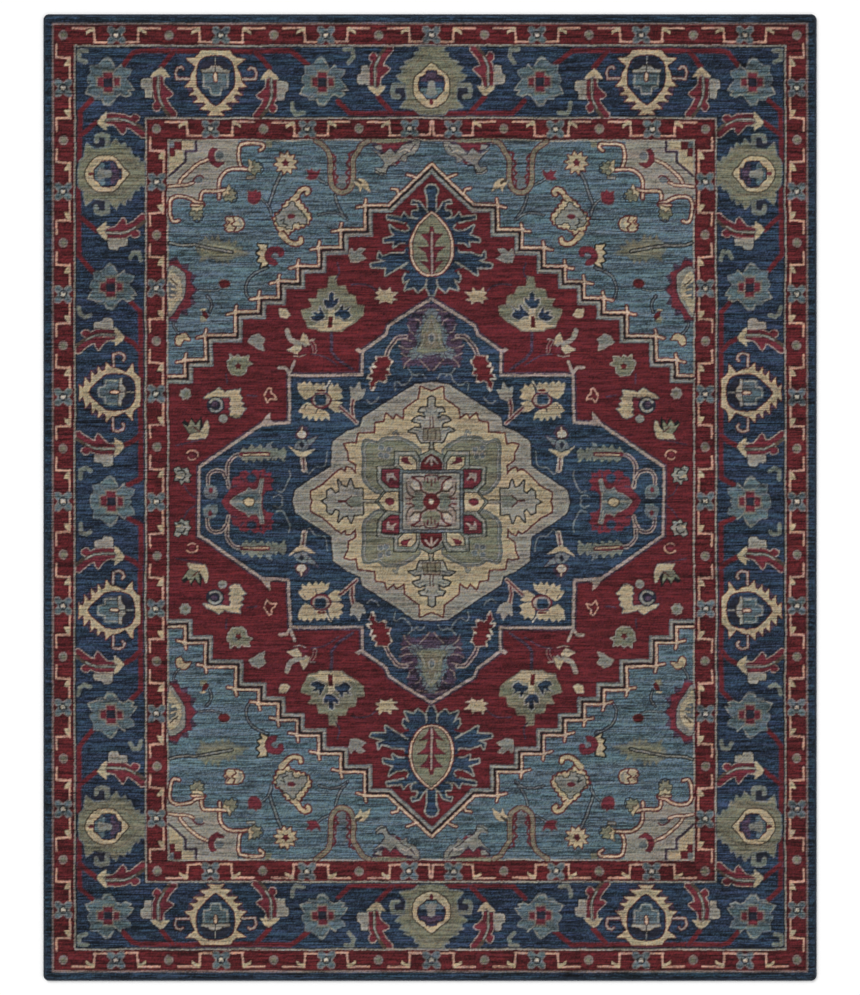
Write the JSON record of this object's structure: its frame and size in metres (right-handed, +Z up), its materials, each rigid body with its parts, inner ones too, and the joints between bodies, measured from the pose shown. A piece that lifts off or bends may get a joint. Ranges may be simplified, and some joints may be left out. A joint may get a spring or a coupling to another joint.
{
  "type": "area rug",
  "caption": "Rectangular hand-tufted wool rug with a traditional medallion field, stepped corner fields and patterned borders, on a canvas back with a serged edge.",
  "frame": {"origin": "centre of the rug's underside, on the floor", "axes": "+Y along the rug's length, +X across its width, +Z up out of the pile"},
  "size_m": [2.4378, 3.0472, 0.013],
  "materials": {
    "navy_wool": "matt cut pile, streaked dye",
    "red_wool": "matt cut pile, streaked dye",
    "blue_wool": "matt cut pile, streaked dye",
    "ink_blue_wool": "matt cut pile, streaked dye",
    "taupe_wool": "matt cut pile, streaked dye",
    "cream_wool": "matt cut pile, streaked dye",
    "serging_yarn": "matt overcast yarn",
    "cotton_canvas": "plain-weave cotton",
    "tufting_cloth": "open plain-weave cotton",
    "latex": "matt rubber coat"
  },
  "bodies": {
    "root": {"canvas_back": "cotton_canvas", "latex_coat": "latex", "pile_centre_square": "cream_wool", "pile_core_back_left": "taupe_wool", "pile_core_back_right": "taupe_wool", "pile_core_front_left": "taupe_wool", "pile_core_front_right": "taupe_wool", "pile_edge_band_back": "navy_wool", "pile_edge_band_front": "navy_wool", "pile_edge_band_left": "navy_wool", "pile_edge_band_right": "navy_wool", "pile_inner_guard_back": "red_wool", "pile_inner_guard_front": "red_wool", "pile_inner_guard_left": "red_wool", "pile_inner_guard_right": "red_wool", "pile_main_border_back": "navy_wool", "pile_main_border_front": "navy_wool", "pile_main_border_left": "navy_wool", "pile_main_border_right": "navy_wool", "pile_medallion_back_left": "ink_blue_wool", "pile_medallion_back_right": "ink_blue_wool", "pile_medallion_front_left": "ink_blue_wool", "pile_medallion_front_right": "ink_blue_wool", "pile_outer_guard_back": "red_wool", "pile_outer_guard_front": "red_wool", "pile_outer_guard_left": "red_wool", "pile_outer_guard_right": "red_wool", "pile_red_field_back_left": "red_wool", "pile_red_field_back_right": "red_wool", "pile_red_field_front_left": "red_wool", "pile_red_field_front_right": "red_wool", "pile_spandrel_back_left": "blue_wool", "pile_spandrel_back_right": "blue_wool", "pile_spandrel_front_left": "blue_wool", "pile_spandrel_front_right": "blue_wool", "serging_back": "serging_yarn", "serging_front": "serging_yarn", "serging_left": "serging_yarn", "serging_right": "serging_yarn", "tufting_cloth": "tufting_cloth"}
  },
  "joints": []
}
